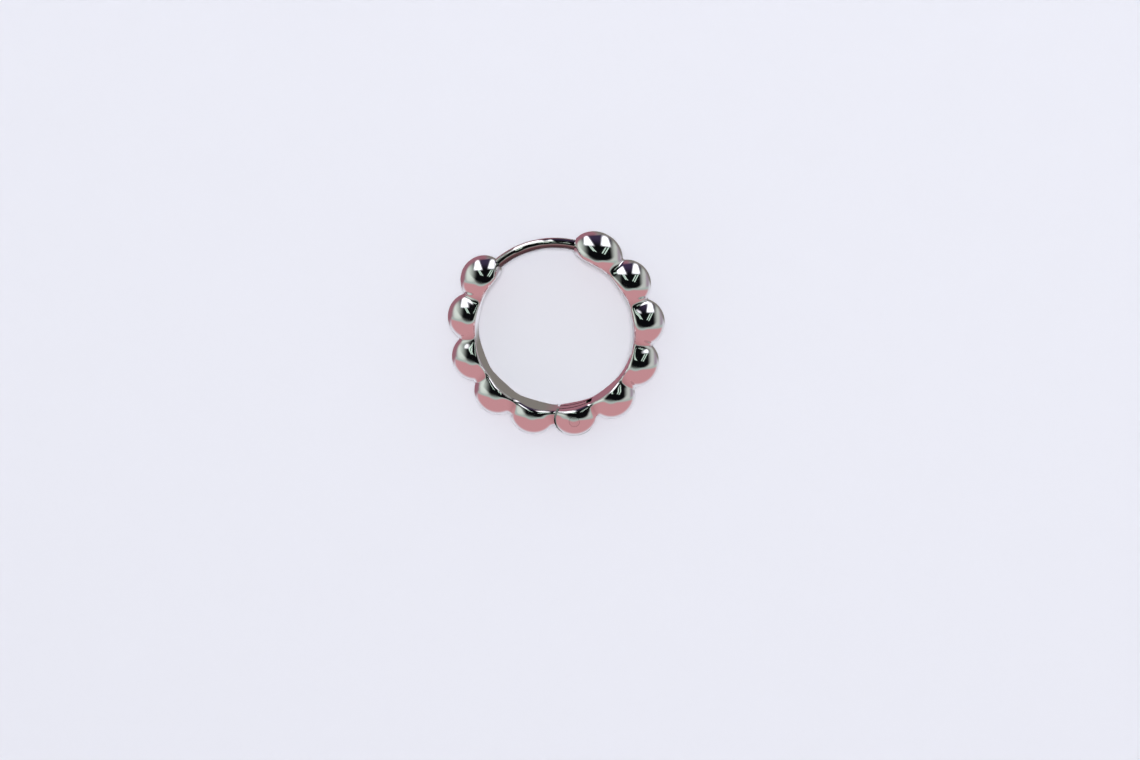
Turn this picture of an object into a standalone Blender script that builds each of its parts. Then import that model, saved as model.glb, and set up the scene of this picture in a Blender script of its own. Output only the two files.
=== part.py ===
"""A beaded hoop earring: two cast half hoops of fused beads, a hinge and a plain ear wire.

The hoop lies on its side on the beads' poles. X is across the hoop, Y runs from the hinge bead
towards the middle of the ear wire, and Z is the hoop's own axis. The origin is on the surface
that the hoop rests on, under the middle of its outline. Lengths are in metres.
"""

import math

import bmesh
import bpy
from mathutils import Vector

MM = 0.001

# Beads and band
BORE_RADIUS = 7.00 * MM
BORE_EDGE_ROUNDING = 0.35 * MM
BEAD_CIRCLE_RADIUS = 7.70 * MM
BEAD_RADIUS = 1.97 * MM
BEAD_HALF_LENGTH = 2.08 * MM
BEAD_HALF_WIDTH = 1.97 * MM
BEAD_POLE_RADIUS = 0.36 * MM
BEAD_PITCH = math.radians(27.85)
BEADS_PER_HALF = 5
CATCH_BEAD_HALF_LENGTH = 2.32 * MM
ROOT_BEAD_SHIFT = math.radians(1.2)
ROOT_BEAD_LIFT = 0.18 * MM
BAND_HALF_WIDTH = 1.25 * MM
BAND_THICKNESS = 1.50 * MM

# Ear wire, its socket in the end bead of one half and its catch hole in the end bead of the other
WIRE_RADIUS = 0.45 * MM
WIRE_CIRCLE_RADIUS = 7.80 * MM
WIRE_TIP_ROUNDING = 0.33 * MM
ROOT_FACE_FROM_BEAD = 1.81 * MM
SOCKET_DEPTH = 1.50 * MM
SOCKET_CLEARANCE = 0.12 * MM
CATCH_DEPTH = 0.75 * MM
CATCH_CLEARANCE = 0.17 * MM
HOLE_END_CLEARANCE = 0.30 * MM

# Hinge
PIN_CIRCLE_RADIUS = 8.05 * MM
PIN_RADIUS = 0.45 * MM
PIN_CLEARANCE = 0.08 * MM
KNUCKLE_RADIUS = 1.66 * MM
TONGUE_THICKNESS = 0.95 * MM
SLOT_SIDE_CLEARANCE = 0.25 * MM
TONGUE_END_CLEARANCE = 0.50 * MM
EAR_END_CLEARANCE = 0.20 * MM

# Fineness of the faceted surfaces
BEAD_SIDES = 16
BEAD_RINGS = 10
EDGE_STEPS = 3
RING_SIDES = 96
KNUCKLE_SIDES = 40
PIN_SIDES = 16
WIRE_STEP = math.radians(4.0)
WIRE_BEVEL_RESOLUTION = 3
TIP_SEGMENTS = 3
TIP_EDGE_ANGLE = math.radians(60.0)
MERGE_DISTANCE = 0.01 * MM

# Sizes that follow from the ones above
HINGE_ANGLE = math.radians(-90.0)
WIRE_MIDDLE_ANGLE = HINGE_ANGLE + math.pi
OUTER_RADIUS = BEAD_CIRCLE_RADIUS + BEAD_RADIUS
WIRE_OUTER_RADIUS = WIRE_CIRCLE_RADIUS + WIRE_RADIUS
HOOP_CENTRE = Vector((0.0, (OUTER_RADIUS - WIRE_OUTER_RADIUS) / 2, BEAD_HALF_WIDTH))
PIN_PLACE = Vector((0.0, -PIN_CIRCLE_RADIUS, 0.0))
CUTTER_REACH = 2 * BEAD_HALF_WIDTH
SECTOR_REACH = 3 * OUTER_RADIUS

WIRE_SIDE = -1
CATCH_SIDE = 1

POLISHED_METAL = (0.80, 0.80, 0.81, 1.0)
WIRE_METAL = (0.60, 0.59, 0.58, 1.0)
CAST_ROUGHNESS = 0.08
DRAWN_ROUGHNESS = 0.10


def start_scene():
    """Empty the scene and make the collections for the parts and for the cutters."""
    for old in list(bpy.data.objects):
        bpy.data.objects.remove(old, do_unlink=True)
    parts = bpy.data.collections.new("beaded_hoop_earring")
    cutters = bpy.data.collections.new("cutters")
    for collection in (parts, cutters):
        bpy.context.scene.collection.children.link(collection)
    return parts, cutters


def make_empty(name, parent, location):
    empty = bpy.data.objects.new(name, None)
    empty.parent = parent
    empty.location = location
    PARTS.objects.link(empty)
    return empty


def place(obj, parent, location=(0.0, 0.0, 0.0)):
    obj.parent = parent
    obj.location = location
    return obj


def add_guide(obj):
    """Keep an object as a guide or cutter: it shapes the parts and isn't one itself."""
    obj.hide_render = True
    obj.display_type = "WIRE"
    CUTTERS.objects.link(obj)
    return obj


def combine(obj, operation, *others, solver="EXACT"):
    """Add one Boolean for each other object, in order."""
    for other in others:
        boolean = obj.modifiers.new(f"{operation.lower()} {other.name}", "BOOLEAN")
        boolean.operation = operation
        boolean.solver = solver
        boolean.object = other


def carve(half, operation, *others):
    """A Boolean on a cast half. Exact ones leave open edges where the knuckle grazes the bead."""
    combine(half, operation, *others, solver="MANIFOLD")


def turned(name, profile, sides, closed=False):
    """Turn a profile of (radius, height) points about Z with a Screw."""
    points = [(radius, 0.0, height) for radius, height in profile]
    edges = [(i, i + 1) for i in range(len(points) - 1)]
    if closed:
        edges.append((len(points) - 1, 0))
    mesh = bpy.data.meshes.new(name)
    mesh.from_pydata(points, edges, [])
    obj = bpy.data.objects.new(name, mesh)
    screw = obj.modifiers.new("turn", "SCREW")
    screw.steps = sides
    screw.render_steps = sides
    screw.use_merge_vertices = True
    screw.merge_threshold = MERGE_DISTANCE
    screw.use_smooth_shade = True
    return obj


def bead_profile():
    """A round bead with a small polished flat at each pole."""
    pole = math.asin(BEAD_POLE_RADIUS / BEAD_RADIUS)
    height = BEAD_HALF_WIDTH / math.cos(pole)
    points = [(0.0, BEAD_HALF_WIDTH)]
    for i in range(BEAD_RINGS + 1):
        turn = pole + (math.pi - 2 * pole) * i / BEAD_RINGS
        points.append((BEAD_RADIUS * math.sin(turn), height * math.cos(turn)))
    points.append((0.0, -BEAD_HALF_WIDTH))
    return points


def band_profile():
    """The band's half-round section. It starts inside the bore, which is cut clean afterwards."""
    points = []
    for i in range(2 * EDGE_STEPS + 1):
        turn = math.pi / 2 - math.pi * i / (2 * EDGE_STEPS)
        radius = BORE_RADIUS + BAND_THICKNESS * math.cos(turn)
        points.append((radius, BAND_HALF_WIDTH * math.sin(turn)))
    inside = BORE_RADIUS - BAND_THICKNESS / 2
    return points + [(inside, -BAND_HALF_WIDTH), (inside, BAND_HALF_WIDTH)]


def bore_profile():
    """The smooth inside of the hoop, opening out with a small radius at both faces."""
    edge_start = BEAD_HALF_WIDTH - BORE_EDGE_ROUNDING
    flare = []
    for i in range(EDGE_STEPS + 1):
        turn = math.pi / 2 * i / EDGE_STEPS
        radius = BORE_RADIUS + BORE_EDGE_ROUNDING * (1 - math.cos(turn))
        flare.append((radius, edge_start + BORE_EDGE_ROUNDING * math.sin(turn)))
    top = [(0.0, CUTTER_REACH), (flare[-1][0], CUTTER_REACH)] + flare[::-1]
    return top + [(radius, -height) for radius, height in top[::-1]]


def cylinder(name, radius, low, high, sides):
    """An upright cylinder from height low to height high, with a facet and not a corner towards +X."""
    obj = turned(name, [(0.0, high), (radius, high), (radius, low), (0.0, low)], sides)
    obj.rotation_euler.z = math.pi / sides
    return obj


def block(name, low, high):
    """A box between two corners."""
    bpy.ops.mesh.primitive_cube_add(size=1.0)
    obj = bpy.context.active_object
    obj.name = name
    size = Vector(high) - Vector(low)
    middle = (Vector(high) + Vector(low)) / 2
    for vertex in obj.data.vertices:
        vertex.co = Vector([c * s for c, s in zip(vertex.co, size)]) + middle
    for collection in list(obj.users_collection):
        collection.objects.unlink(obj)
    return obj


def bent_rod(name, radius, start, end):
    """A round rod along the ear wire's circle, between two angles, as a closed mesh."""
    steps = max(2, round(abs(end - start) / WIRE_STEP))
    curve = bpy.data.curves.new(name, "CURVE")
    curve.dimensions = "3D"
    curve.bevel_depth = radius
    curve.bevel_resolution = WIRE_BEVEL_RESOLUTION
    curve.use_fill_caps = True
    spline = curve.splines.new("POLY")
    spline.points.add(steps)
    for i, point in enumerate(spline.points):
        angle = start + (end - start) * i / steps
        x = WIRE_CIRCLE_RADIUS * math.cos(angle)
        y = WIRE_CIRCLE_RADIUS * math.sin(angle)
        point.co = (x, y, 0.0, 1.0)
    route = bpy.data.objects.new(name + "_route", curve)
    CUTTERS.objects.link(route)
    bpy.context.view_layer.update()
    evaluated = route.evaluated_get(bpy.context.evaluated_depsgraph_get())
    mesh = bpy.data.meshes.new_from_object(evaluated)
    mesh.name = name
    weld_caps(mesh)
    bpy.data.objects.remove(route, do_unlink=True)
    return bpy.data.objects.new(name, mesh)


def weld_caps(mesh):
    cage = bmesh.new()
    cage.from_mesh(mesh)
    bmesh.ops.remove_doubles(cage, verts=cage.verts, dist=MERGE_DISTANCE)
    bmesh.ops.recalc_face_normals(cage, faces=cage.faces)
    cage.to_mesh(mesh)
    cage.free()


def paint(obj, colour, roughness):
    """Give an object its own plain polished metal."""
    material = bpy.data.materials.new(obj.name + "_metal")
    material.use_nodes = True
    shader = material.node_tree.nodes["Principled BSDF"]
    shader.inputs["Base Color"].default_value = colour
    shader.inputs["Metallic"].default_value = 1.0
    shader.inputs["Roughness"].default_value = roughness
    obj.data.materials.append(material)


def bead_angle(side, number):
    return HINGE_ANGLE + side * number * BEAD_PITCH


def set_bead(obj, side, number):
    """Put a bead in its place, drawn out a little along the hoop.

    The end bead with the catch hole is longer. The one that the wire leaves sits nearer its
    neighbour and a little further out.
    """
    angle = bead_angle(side, number)
    radius = BEAD_CIRCLE_RADIUS
    half_length = BEAD_HALF_LENGTH
    if number == BEADS_PER_HALF and side == CATCH_SIDE:
        half_length = CATCH_BEAD_HALF_LENGTH
    elif number == BEADS_PER_HALF:
        angle -= side * ROOT_BEAD_SHIFT
        radius += ROOT_BEAD_LIFT
    obj.rotation_euler.z = angle
    obj.scale.y = half_length / BEAD_RADIUS
    return place(obj, HOOP, radius * Vector((math.cos(angle), math.sin(angle), 0.0)))


def add_sector(side):
    """A wedge that keeps one side's share of the band, from the hinge bead to the end bead."""
    first = HINGE_ANGLE - side * BEAD_PITCH / 2
    last = bead_angle(side, BEADS_PER_HALF)
    corners = [(0.0, 0.0)]
    for i in range(BEADS_PER_HALF + 1):
        angle = first + (last - first) * i / BEADS_PER_HALF
        corners.append((SECTOR_REACH * math.cos(angle), SECTOR_REACH * math.sin(angle)))
    outline = bpy.data.curves.new("sector", "CURVE")
    outline.dimensions = "2D"
    outline.fill_mode = "BOTH"
    outline.extrude = CUTTER_REACH
    spline = outline.splines.new("POLY")
    spline.points.add(len(corners) - 1)
    for point, (x, y) in zip(spline.points, corners):
        point.co = (x, y, 0.0, 1.0)
    spline.use_cyclic_u = True
    flat = bpy.data.objects.new("sector_outline", outline)
    CUTTERS.objects.link(flat)
    bpy.context.view_layer.update()
    evaluated = flat.evaluated_get(bpy.context.evaluated_depsgraph_get())
    mesh = bpy.data.meshes.new_from_object(evaluated)
    weld_caps(mesh)
    bpy.data.objects.remove(flat, do_unlink=True)
    wedge = bpy.data.objects.new("wire_side_sector" if side < 0 else "catch_side_sector", mesh)
    return place(add_guide(wedge), HOOP)


def add_beads(side):
    """The hinge bead and the beads of one half, as guides that are fused onto its band."""
    mesh_source = turned("bead", bead_profile(), BEAD_SIDES)
    beads = []
    for number in range(BEADS_PER_HALF + 1):
        bead = mesh_source.copy()
        bead.name = f"{'wire' if side < 0 else 'catch'}_side_bead_{number}"
        beads.append(set_bead(add_guide(bead), side, number))
    bpy.data.objects.remove(mesh_source, do_unlink=True)
    return beads


def add_half(name, side):
    """One half of the hoop as cast: its share of the band with the beads fused on, and the bore."""
    half = turned(name, band_profile(), RING_SIDES, closed=True)
    carve(half, "INTERSECT", add_sector(side))
    carve(half, "UNION", *add_beads(side))
    bore = turned(name + "_bore", bore_profile(), RING_SIDES)
    carve(half, "DIFFERENCE", place(add_guide(bore), HOOP))
    PARTS.objects.link(half)
    return half


def round_off(half, side):
    """Round a half's hinge end about the pin, so that nothing reaches past its knuckle."""
    low = (0.0, -2 * BEAD_RADIUS, -CUTTER_REACH)
    high = (-side * 2 * BEAD_RADIUS, 2 * BEAD_RADIUS, CUTTER_REACH)
    corners = [sorted(pair) for pair in zip(low, high)]
    beyond = block(half.name + "_beyond_knuckle", [c[0] for c in corners], [c[1] for c in corners])
    knuckle = cylinder(half.name + "_knuckle", KNUCKLE_RADIUS, -2 * CUTTER_REACH, 2 * CUTTER_REACH,
                       KNUCKLE_SIDES)
    place(add_guide(knuckle), HOOP, PIN_PLACE)
    combine(beyond, "DIFFERENCE", knuckle)
    carve(half, "DIFFERENCE", place(add_guide(beyond), HOOP, PIN_PLACE))


def cut_pin_hole(half):
    hole = cylinder(half.name + "_pin_hole", PIN_RADIUS + PIN_CLEARANCE, -CUTTER_REACH, CUTTER_REACH,
                    PIN_SIDES)
    carve(half, "DIFFERENCE", place(add_guide(hole), HOOP, PIN_PLACE))


def cut_room_for_ears(half):
    """Clear the fork's ears above and below the tongue."""
    radius = KNUCKLE_RADIUS + EAR_END_CLEARANCE
    face = TONGUE_THICKNESS / 2
    upper = cylinder("upper_ear_room", radius, face, CUTTER_REACH, KNUCKLE_SIDES)
    lower = cylinder("lower_ear_room", radius, -CUTTER_REACH, -face, KNUCKLE_SIDES)
    for room in (upper, lower):
        carve(half, "DIFFERENCE", place(add_guide(room), HOOP, PIN_PLACE))


def cut_tongue_slot(half):
    """Cut the slot between the ears that the tongue turns in."""
    radius = KNUCKLE_RADIUS + TONGUE_END_CLEARANCE
    face = TONGUE_THICKNESS / 2 + SLOT_SIDE_CLEARANCE
    slot = cylinder("tongue_slot", radius, -face, face, KNUCKLE_SIDES)
    carve(half, "DIFFERENCE", place(add_guide(slot), HOOP, PIN_PLACE))


def end_bead_angle(side):
    """An end bead's angle, counted from the middle of the ear wire and so across the top."""
    return WIRE_MIDDLE_ANGLE - side * (math.pi - BEADS_PER_HALF * BEAD_PITCH)


def root_face_angle():
    """Where the wire leaves the flat end of the wire side's end bead."""
    return end_bead_angle(WIRE_SIDE) - ROOT_FACE_FROM_BEAD / WIRE_CIRCLE_RADIUS


def catch_mouth_angle():
    """Where the wire's circle enters the surface of the catch side's end bead."""
    inward = WIRE_CIRCLE_RADIUS ** 2 + BEAD_CIRCLE_RADIUS ** 2 - CATCH_BEAD_HALF_LENGTH ** 2
    reach = math.acos(inward / (2 * WIRE_CIRCLE_RADIUS * BEAD_CIRCLE_RADIUS))
    return end_bead_angle(CATCH_SIDE) + reach


def wire_root_angle():
    return root_face_angle() + SOCKET_DEPTH / WIRE_CIRCLE_RADIUS


def wire_tip_angle():
    return catch_mouth_angle() - CATCH_DEPTH / WIRE_CIRCLE_RADIUS


def face_root_end(half):
    """Face off the wire side's end bead square to the wire."""
    angle = root_face_angle()
    face = block("root_face", (-2 * BEAD_RADIUS, -4 * BEAD_RADIUS, -CUTTER_REACH),
                 (2 * BEAD_RADIUS, 0.0, CUTTER_REACH))
    place(add_guide(face), HOOP, WIRE_CIRCLE_RADIUS * Vector((math.cos(angle), math.sin(angle), 0.0)))
    face.rotation_euler.z = angle
    carve(half, "DIFFERENCE", face)


def drill_socket(half):
    end = wire_root_angle() + HOLE_END_CLEARANCE / WIRE_CIRCLE_RADIUS
    start = root_face_angle() - BEAD_RADIUS / WIRE_CIRCLE_RADIUS
    socket = bent_rod("wire_socket", WIRE_RADIUS + SOCKET_CLEARANCE, start, end)
    carve(half, "DIFFERENCE", place(add_guide(socket), HOOP))


def drill_catch(half):
    end = wire_tip_angle() - HOLE_END_CLEARANCE / WIRE_CIRCLE_RADIUS
    start = catch_mouth_angle() + BEAD_RADIUS / WIRE_CIRCLE_RADIUS
    hole = bent_rod("catch_hole", WIRE_RADIUS + CATCH_CLEARANCE, end, start)
    carve(half, "DIFFERENCE", place(add_guide(hole), HOOP))


def build_wire_half():
    half = place(add_half("wire_half", WIRE_SIDE), HOOP)
    face_root_end(half)
    drill_socket(half)
    round_off(half, WIRE_SIDE)
    cut_room_for_ears(half)
    cut_pin_hole(half)
    paint(half, POLISHED_METAL, CAST_ROUGHNESS)


def build_catch_half():
    half = place(add_half("catch_half", CATCH_SIDE), HINGE, -PIN_PLACE)
    drill_catch(half)
    round_off(half, CATCH_SIDE)
    cut_tongue_slot(half)
    cut_pin_hole(half)
    paint(half, POLISHED_METAL, CAST_ROUGHNESS)


def build_hinge_pin():
    """The pin, dressed flush: its ends follow the hinge bead's own surface."""
    pin = cylinder("hinge_pin", PIN_RADIUS, -CUTTER_REACH, CUTTER_REACH, PIN_SIDES)
    PARTS.objects.link(place(pin, HINGE))
    outline = turned("hinge_bead_outline", bead_profile(), BEAD_SIDES)
    combine(pin, "INTERSECT", set_bead(add_guide(outline), CATCH_SIDE, 0))
    paint(pin, POLISHED_METAL, CAST_ROUGHNESS)


def build_ear_wire():
    """The ear wire, from its root in the socket to its rounded tip in the catch hole."""
    wire = bent_rod("ear_wire", WIRE_RADIUS, wire_tip_angle(), wire_root_angle())
    PARTS.objects.link(place(wire, HOOP))
    rounding = wire.modifiers.new("rounded ends", "BEVEL")
    rounding.width = WIRE_TIP_ROUNDING
    rounding.segments = TIP_SEGMENTS
    rounding.use_clamp_overlap = False
    rounding.limit_method = "ANGLE"
    rounding.angle_limit = TIP_EDGE_ANGLE
    paint(wire, WIRE_METAL, DRAWN_ROUGHNESS)


PARTS, CUTTERS = start_scene()
HOOP = make_empty("hoop_centre", None, HOOP_CENTRE)
HINGE = make_empty("hinge_axis", HOOP, PIN_PLACE)
build_wire_half()
build_catch_half()
build_hinge_pin()
build_ear_wire()
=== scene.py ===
# %% [markdown]
# # A beaded hoop earring, step by step
# The object is a small hinged hoop: two cast halves of fused round beads, a pin and a plain ear wire.
# The solids with the true sizes are loaded first and stay as they are. Each visible piece is then made
# again with a finer surface in the same place, because a mirror polish shows every facet.

# %% Load the solids that give every size and place
import math

import bmesh
import bpy
import numpy as np
from mathutils import Matrix, Vector


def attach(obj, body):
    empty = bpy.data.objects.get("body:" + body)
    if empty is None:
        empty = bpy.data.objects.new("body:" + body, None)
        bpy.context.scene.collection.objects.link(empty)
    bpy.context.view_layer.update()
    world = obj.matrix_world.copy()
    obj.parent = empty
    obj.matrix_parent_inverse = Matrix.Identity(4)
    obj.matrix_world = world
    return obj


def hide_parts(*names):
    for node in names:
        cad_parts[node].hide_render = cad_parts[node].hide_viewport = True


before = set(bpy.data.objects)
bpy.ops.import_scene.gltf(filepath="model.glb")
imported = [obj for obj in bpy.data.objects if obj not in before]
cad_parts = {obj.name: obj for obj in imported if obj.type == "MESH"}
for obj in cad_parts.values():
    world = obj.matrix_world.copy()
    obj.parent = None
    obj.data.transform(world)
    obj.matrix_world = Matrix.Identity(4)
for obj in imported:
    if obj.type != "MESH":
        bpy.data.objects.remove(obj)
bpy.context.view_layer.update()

# %% [markdown]
# ## Sizes
# A jeweller gives sizes in millimetres, so this lesson does too, and only the finished mesh is scaled to
# metres. The hoop is worked on around its own centre, with its hinge at -90 degrees and the middle of
# the ear wire at +90 degrees. The numbers are those of the solids, with fillets and blends added. The
# beads are a touch longer along the hoop than across it, as cast beads that run into each other are, and
# the end bead that catches the wire is longer still. Angles are in radians.

# %% Name the sizes of the hoop
MM = 0.001
WIRE_SIDE, CATCH_SIDE = -1, 1

BORE_RADIUS = 7.00
BORE_EDGE_ROUNDING = 0.35
BEAD_CIRCLE_RADIUS = 7.70
BEAD_ALONG, BEAD_OUTWARD, BEAD_UPWARD = 2.08, 1.97, 2.00
BEAD_HALF_WIDTH = 1.97
FLAT_BLEND = 0.06
BEAD_PITCH = math.radians(27.85)
BEADS_PER_HALF = 5
CATCH_BEAD_ALONG = 2.32
ROOT_BEAD_SHIFT, ROOT_BEAD_LIFT = math.radians(1.2), 0.18
BAND_HALF_WIDTH, BAND_THICKNESS = 1.25, 1.50
NOTCH_FILLET, NECK_FILLET = 0.30, 0.80
END_EDGE_ROUNDING, END_EDGE_START = 1.3, 0.45

WIRE_RADIUS, WIRE_CIRCLE_RADIUS, WIRE_TIP_ROUNDING = 0.45, 7.80, 0.33
ROOT_FACE_FROM_BEAD, SOCKET_DEPTH = 1.81, 1.50
CATCH_DEPTH, CATCH_CLEARANCE, HOLE_END_CLEARANCE = 0.75, 0.17, 0.30

PIN_CIRCLE_RADIUS, PIN_RADIUS, PIN_CLEARANCE = 8.05, 0.45, 0.08
KNUCKLE_RADIUS, TONGUE_THICKNESS = 1.66, 0.95
SLOT_SIDE_CLEARANCE, TONGUE_END_CLEARANCE, EAR_END_CLEARANCE = 0.25, 0.50, 0.20

HINGE_ANGLE = math.radians(-90.0)
WIRE_MIDDLE_ANGLE = HINGE_ANGLE + math.pi
OUTER_RADIUS = BEAD_CIRCLE_RADIUS + BEAD_OUTWARD
HOOP_CENTRE = Vector((0.0, (OUTER_RADIUS - WIRE_CIRCLE_RADIUS - WIRE_RADIUS) / 2, BEAD_HALF_WIDTH))
print("hoop centre in mm:", [round(c, 3) for c in HOOP_CENTRE])

# %% [markdown]
# ## Places along the hoop
# The beads stand in equal steps from the hinge, and the wire bridges the gap at the top. The places could
# be read off the solids one by one, but the rule is short and shows what depends on what, so it is
# written out here.

# %% Say where the beads, the wire and its two holes are
def bead_place(side, number):
    """A bead's angle, its centre's distance from the middle of the hoop and half its length."""
    angle = HINGE_ANGLE + side * number * BEAD_PITCH
    if number < BEADS_PER_HALF:
        return angle, BEAD_CIRCLE_RADIUS, BEAD_ALONG
    if side == CATCH_SIDE:
        return angle, BEAD_CIRCLE_RADIUS, CATCH_BEAD_ALONG
    return angle - side * ROOT_BEAD_SHIFT, BEAD_CIRCLE_RADIUS + ROOT_BEAD_LIFT, BEAD_ALONG


def end_bead_angle(side):
    """An end bead's angle without its shift, counted from the wire's middle and so across the top."""
    return WIRE_MIDDLE_ANGLE - side * (math.pi - BEADS_PER_HALF * BEAD_PITCH)


root_face_angle = end_bead_angle(WIRE_SIDE) - ROOT_FACE_FROM_BEAD / WIRE_CIRCLE_RADIUS
wire_root_angle = root_face_angle + SOCKET_DEPTH / WIRE_CIRCLE_RADIUS
mouth_reach = math.acos((WIRE_CIRCLE_RADIUS ** 2 + BEAD_CIRCLE_RADIUS ** 2 - CATCH_BEAD_ALONG ** 2)
                        / (2 * WIRE_CIRCLE_RADIUS * BEAD_CIRCLE_RADIUS))
catch_mouth_angle = end_bead_angle(CATCH_SIDE) + mouth_reach
wire_tip_angle = catch_mouth_angle - CATCH_DEPTH / WIRE_CIRCLE_RADIUS
print("wire from", round(math.degrees(wire_tip_angle), 1), "to", round(math.degrees(wire_root_angle), 1))

# %% [markdown]
# ## The camera
# The photographer looks nearly along the hoop's axis. A hoop that rests by itself lies on its side, so
# the camera goes above it at the same angle to the hoop. Three numbers fix the view: the place of the
# camera from the hoop's centre, which way is up in the picture, and where the centre falls in the frame.
# The lens is turned a little to put the centre there, so that no lens shift is needed.

# %% Set up the camera at the photograph's angle
IMAGE_WIDTH, IMAGE_HEIGHT = 1140, 760
FOCAL_PIXELS = 2300.0
SENSOR_WIDTH = 36.0
CENTRE_PIXEL = (555.85, 330.2)
CAMERA_FROM_CENTRE = Vector((23.43, 33.74, 199.35))
IMAGE_UP = Vector((0.2026, 0.9613, -0.1865))
NEAREST_SEEN, FARTHEST_SEEN = 1 * MM, 20.0


def add_camera():
    back = CAMERA_FROM_CENTRE.normalized()
    right = IMAGE_UP.cross(back).normalized()
    up = back.cross(right)
    turned = Matrix((right, up, back)).transposed()
    to_centre = Vector(((CENTRE_PIXEL[0] - IMAGE_WIDTH / 2) / FOCAL_PIXELS,
                        (IMAGE_HEIGHT / 2 - CENTRE_PIXEL[1]) / FOCAL_PIXELS, -1.0))
    aim = (turned @ to_centre).rotation_difference(-back).to_matrix()
    data = bpy.data.cameras.new("camera")
    data.sensor_width = SENSOR_WIDTH
    data.lens = FOCAL_PIXELS / IMAGE_WIDTH * SENSOR_WIDTH
    data.clip_start = NEAREST_SEEN
    data.clip_end = FARTHEST_SEEN
    camera = bpy.data.objects.new("camera", data)
    place = (HOOP_CENTRE + CAMERA_FROM_CENTRE) * MM
    camera.matrix_world = Matrix.Translation(place) @ (aim @ turned).to_4x4()
    bpy.context.scene.collection.objects.link(camera)
    bpy.context.scene.camera = camera
    return camera


camera = add_camera()
print("lens in mm:", round(camera.data.lens, 2))

# %% [markdown]
# ## The cast halves
# A caster fuses round beads along a half-round band and reams the inside clean. Unioned spheres would
# leave a knife-sharp line in each notch, where real castings have a small fillet. So each bead and the
# band is written as a distance: negative inside the metal and positive outside. Two distances blend with
# a smooth minimum, which makes the fillet, and the bore comes off with a smooth maximum, which rolls its
# edge over. The two end beads are buffed rounder there, because the ear touches them.

# %% Write the beads and the band as distances
LEAST_SLOPE = 1e-6


def smooth_least(a, b, width):
    share = np.clip(width - np.abs(a - b), 0.0, None) / width
    return np.minimum(a, b) - share * share * width / 4


def smooth_most(a, b, width):
    return -smooth_least(-a, -b, width)


def oval_distance(offsets, radii):
    """About how far a point is from an oval, for offsets from its centre along its own axes."""
    scaled = sum((offset / radius) ** 2 for offset, radius in zip(offsets, radii)) ** 0.5
    slope = sum((offset / radius ** 2) ** 2 for offset, radius in zip(offsets, radii)) ** 0.5
    return scaled * (scaled - 1) / np.maximum(slope, LEAST_SLOPE)


def bead_distance(points, side, number):
    angle, radius, half_length = bead_place(side, number)
    outward = np.array((math.cos(angle), math.sin(angle)))
    along = np.array((-math.sin(angle), math.cos(angle)))
    flat = points[..., :2]
    offsets = (flat @ along, flat @ outward - radius, points[..., 2])
    return oval_distance(offsets, (half_length, BEAD_OUTWARD, BEAD_UPWARD))


def half_distance(points, side):
    """Distance to one half of the hoop: six fused beads on a band, with the bore taken out."""
    reach = np.hypot(points[..., 0], points[..., 1])
    metal = oval_distance((reach - BORE_RADIUS, points[..., 2]), (BAND_THICKNESS, BAND_HALF_WIDTH))
    last = bead_place(side, BEADS_PER_HALF)[0]
    past_last_bead = side * (points[..., 1] * math.cos(last) - points[..., 0] * math.sin(last))
    metal = np.maximum(metal, past_last_bead)
    near_bore = np.clip((BORE_RADIUS + BAND_THICKNESS - reach) / BAND_THICKNESS, 0.0, 1.0)
    fillet = NOTCH_FILLET + (NECK_FILLET - NOTCH_FILLET) * near_bore
    for number in range(BEADS_PER_HALF + 1):
        metal = smooth_least(metal, bead_distance(points, side, number), fillet)
    metal = smooth_most(metal, np.abs(points[..., 2]) - BEAD_HALF_WIDTH, FLAT_BLEND)
    near_end = np.clip((past_last_bead / BEAD_ALONG - END_EDGE_START) / (1 - END_EDGE_START), 0.0, 1.0)
    rounding = BORE_EDGE_ROUNDING + (END_EDGE_ROUNDING - BORE_EDGE_ROUNDING) * near_end
    return smooth_most(metal, BORE_RADIUS - reach, rounding)


# %% [markdown]
# The distance says where the surface is, but not how to mesh it. A voxel remesh would leave stair steps
# in the reflections. Here rays go out from a line that runs inside the metal, ring after ring along the
# hoop, and each stops where the distance is nought. That gives even rows of four-sided faces that follow
# the hoop. On the end bead the rays fan out from one point, so that the rows close like a globe's.

# %% Cast rays from the core to the skin
CORE_RADIUS = 7.80
RING_POINTS = 112
RING_STEP = math.radians(0.62)
START_BEYOND_HINGE = math.radians(14.5)
CAP_STEPS = 34
RAY_LENGTH = 3.2
HALVINGS = 34


def ring_rays(side):
    """Starts and directions of the rays, ring by ring, from beyond the hinge to the end bead's tip."""
    start = HINGE_ANGLE - side * START_BEYOND_HINGE
    end = bead_place(side, BEADS_PER_HALF)[0]
    rings = max(2, round(abs(end - start) / RING_STEP))
    around = np.linspace(0.0, 2 * math.pi, RING_POINTS, endpoint=False)
    starts, directions = [], []
    tilts = [0.0] * (rings + 1) + [math.pi / 2 * i / CAP_STEPS for i in range(1, CAP_STEPS)]
    for i, tilt in enumerate(tilts):
        angle = start + (end - start) * min(i, rings) / rings
        outward = np.array((math.cos(angle), math.sin(angle), 0.0))
        along = side * np.array((-math.sin(angle), math.cos(angle), 0.0))
        level = np.cos(around)[:, None] * outward + np.sin(around)[:, None] * np.array((0.0, 0.0, 1.0))
        starts.append(np.broadcast_to(CORE_RADIUS * outward, level.shape))
        directions.append(math.cos(tilt) * level + math.sin(tilt) * along)
    starts.append(starts[-1][:1].repeat(RING_POINTS, 0))
    directions.append(np.broadcast_to(along, level.shape))
    return np.array(starts), np.array(directions)


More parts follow.
